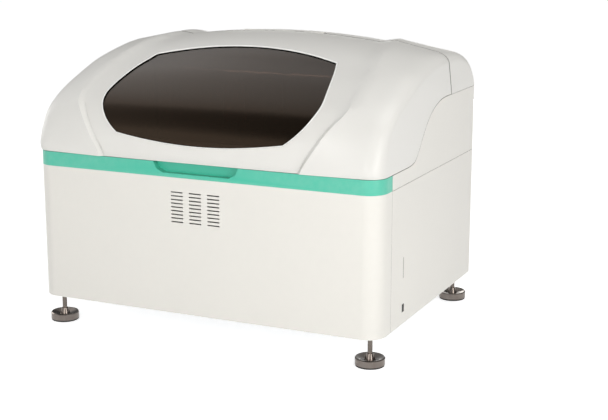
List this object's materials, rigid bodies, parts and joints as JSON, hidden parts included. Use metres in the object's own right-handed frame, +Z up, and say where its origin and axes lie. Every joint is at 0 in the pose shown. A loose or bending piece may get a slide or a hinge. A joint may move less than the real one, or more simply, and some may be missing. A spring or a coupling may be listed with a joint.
{
  "type": "benchtop chemistry analyzer",
  "caption": "Benchtop chemistry analyzer: white casing on levelling feet, hinged hood with a tinted window, teal band, reagent and reaction carousels, swinging sampling arm.",
  "frame": {"origin": "on the floor under the centre of the bounding box", "axes": "+X to the right seen from the front, +Y to the back, +Z up"},
  "size_m": [0.96, 0.7272, 0.7482],
  "materials": {
    "shell": "fine moulded grain, warm off-white",
    "hood": "satin moulded hood, off-white",
    "band": "satin teal",
    "window": "smoke-tinted acrylic",
    "hinge_steel": "brushed",
    "frame_steel": "zinc plated",
    "deck": "powder coat, light grey",
    "well_plastic": "black moulding",
    "pad_rubber": "black rubber",
    "foot_chrome": "polished plating",
    "bowl_metal": "spun, satin",
    "motor_black": "black",
    "shaft_steel": "ground",
    "tray_plastic": "grey-blue moulding",
    "tube_glass": "clear",
    "bottle_plastic": "white blown bottle",
    "knob_plastic": "black knob",
    "ring_metal": "anodised",
    "cuvette_glass": "clear",
    "column_paint": "light grey paint",
    "arm_cover": "reddish brown moulding",
    "supply_steel": "sheet steel case",
    "board_green": "green laminate",
    "fan_black": "black moulding",
    "guard_chrome": "bright wire",
    "port_metal": "turned",
    "rocker_black": "black rocker"
  },
  "bodies": {
    "base": {"front_cover": "shell", "side_panel_left": "shell", "side_panel_right": "shell", "rear_panel": "shell", "trim_band": "band", "cheek_left": "shell", "cheek_right": "shell", "rear_top_cover": "hood", "hinge_pins": "hinge_steel", "fixed_hinge_leaves": "hinge_steel", "hinge_beam": "frame_steel", "hinge_posts": "frame_steel", "base_pan": "frame_steel", "frame_posts": "frame_steel", "drive_plate": "frame_steel", "work_deck": "deck", "wash_wells": "well_plastic", "reagent_bowl": "bowl_metal", "reaction_bowl": "bowl_metal", "carousel_motors": "motor_black", "probe_column": "column_paint", "washer_post": "ring_metal", "photometer": "motor_black", "power_supply": "supply_steel", "control_board": "board_green", "fan_frame": "fan_black", "fan_guard": "guard_chrome", "power_inlet": "fan_black", "fluid_ports": "port_metal", "switch_body": "fan_black", "syringe_frame": "ring_metal", "syringe_barrel": "tube_glass"},
    "lid": {"lid_shell": "hood", "lid_window": "window", "lid_hinge_leaves": "hinge_steel"},
    "reagent_carousel": {"reagent_tray": "tray_plastic", "reagent_spindle": "shaft_steel", "reagent_bottles": "bottle_plastic", "sample_tubes": "tube_glass", "carousel_knob": "knob_plastic"},
    "reaction_carousel": {"reaction_ring": "ring_metal", "reaction_spindle": "shaft_steel", "cuvettes": "cuvette_glass"},
    "probe_lift": {"probe_lift_rod": "shaft_steel"},
    "probe_arm": {"probe_arm": "ring_metal", "probe_cover": "arm_cover", "probe_needle": "shaft_steel"},
    "washer_head": {"washer_head": "column_paint", "washer_nozzles": "shaft_steel"},
    "syringe_plunger": {"syringe_plunger": "ring_metal"},
    "fan_rotor": {"fan_rotor": "fan_black"},
    "power_rocker": {"power_rocker": "rocker_black"},
    "foot_front_left": {"foot_front_left": "foot_chrome", "foot_pad_front_left": "pad_rubber"},
    "foot_front_right": {"foot_front_right": "foot_chrome", "foot_pad_front_right": "pad_rubber"},
    "foot_rear_left": {"foot_rear_left": "foot_chrome", "foot_pad_rear_left": "pad_rubber"},
    "foot_rear_right": {"foot_rear_right": "foot_chrome", "foot_pad_rear_right": "pad_rubber"}
  },
  "joints": [
    {"name": "lid_hinge", "type": "hinge", "parent": "base", "child": "lid", "pos_m": [0, 0.1385, 0.74366], "axis": [-1, 0, 0], "range_deg": [0, 60]},
    {"name": "reagent_spin", "type": "hinge", "parent": "base", "child": "reagent_carousel", "pos_m": [-0.24, -0.095, 0.35], "axis": [0, 0, 1], "continuous": true},
    {"name": "reaction_spin", "type": "hinge", "parent": "base", "child": "reaction_carousel", "pos_m": [0.19, -0.11, 0.4], "axis": [0, 0, 1], "continuous": true},
    {"name": "probe_raise", "type": "slide", "parent": "base", "child": "probe_lift", "axis": [0, 0, 1], "range_m": [-0.048, 0]},
    {"name": "probe_swing", "type": "hinge", "parent": "probe_lift", "child": "probe_arm", "pos_m": [-0.022, 0.07, 0.5], "axis": [0, 0, 1], "range_deg": [-110, 95]},
    {"name": "washer_raise", "type": "slide", "parent": "base", "child": "washer_head", "axis": [0, 0, 1], "range_m": [0, 0.03]},
    {"name": "syringe_stroke", "type": "slide", "parent": "base", "child": "syringe_plunger", "axis": [0, 0, 1], "range_m": [-0.04, 0]},
    {"name": "fan_spin", "type": "hinge", "parent": "base", "child": "fan_rotor", "pos_m": [0.17, 0.339, 0.281], "axis": [0, 1, 0], "continuous": true},
    {"name": "power_switch", "type": "hinge", "parent": "base", "child": "power_rocker", "pos_m": [0.475, -0.196, 0.117], "axis": [0, 1, 0], "range_deg": [0, 14]},
    {"name": "level_front_left", "type": "hinge", "parent": "base", "child": "foot_front_left", "pos_m": [-0.44, -0.309, 0.02], "axis": [0, 0, 1], "continuous": true},
    {"name": "level_front_right", "type": "hinge", "parent": "base", "child": "foot_front_right", "pos_m": [0.44, -0.309, 0.02], "axis": [0, 0, 1], "continuous": true},
    {"name": "level_rear_left", "type": "hinge", "parent": "base", "child": "foot_rear_left", "pos_m": [-0.44, 0.309, 0.02], "axis": [0, 0, 1], "continuous": true},
    {"name": "level_rear_right", "type": "hinge", "parent": "base", "child": "foot_rear_right", "pos_m": [0.44, 0.309, 0.02], "axis": [0, 0, 1], "continuous": true}
  ]
}
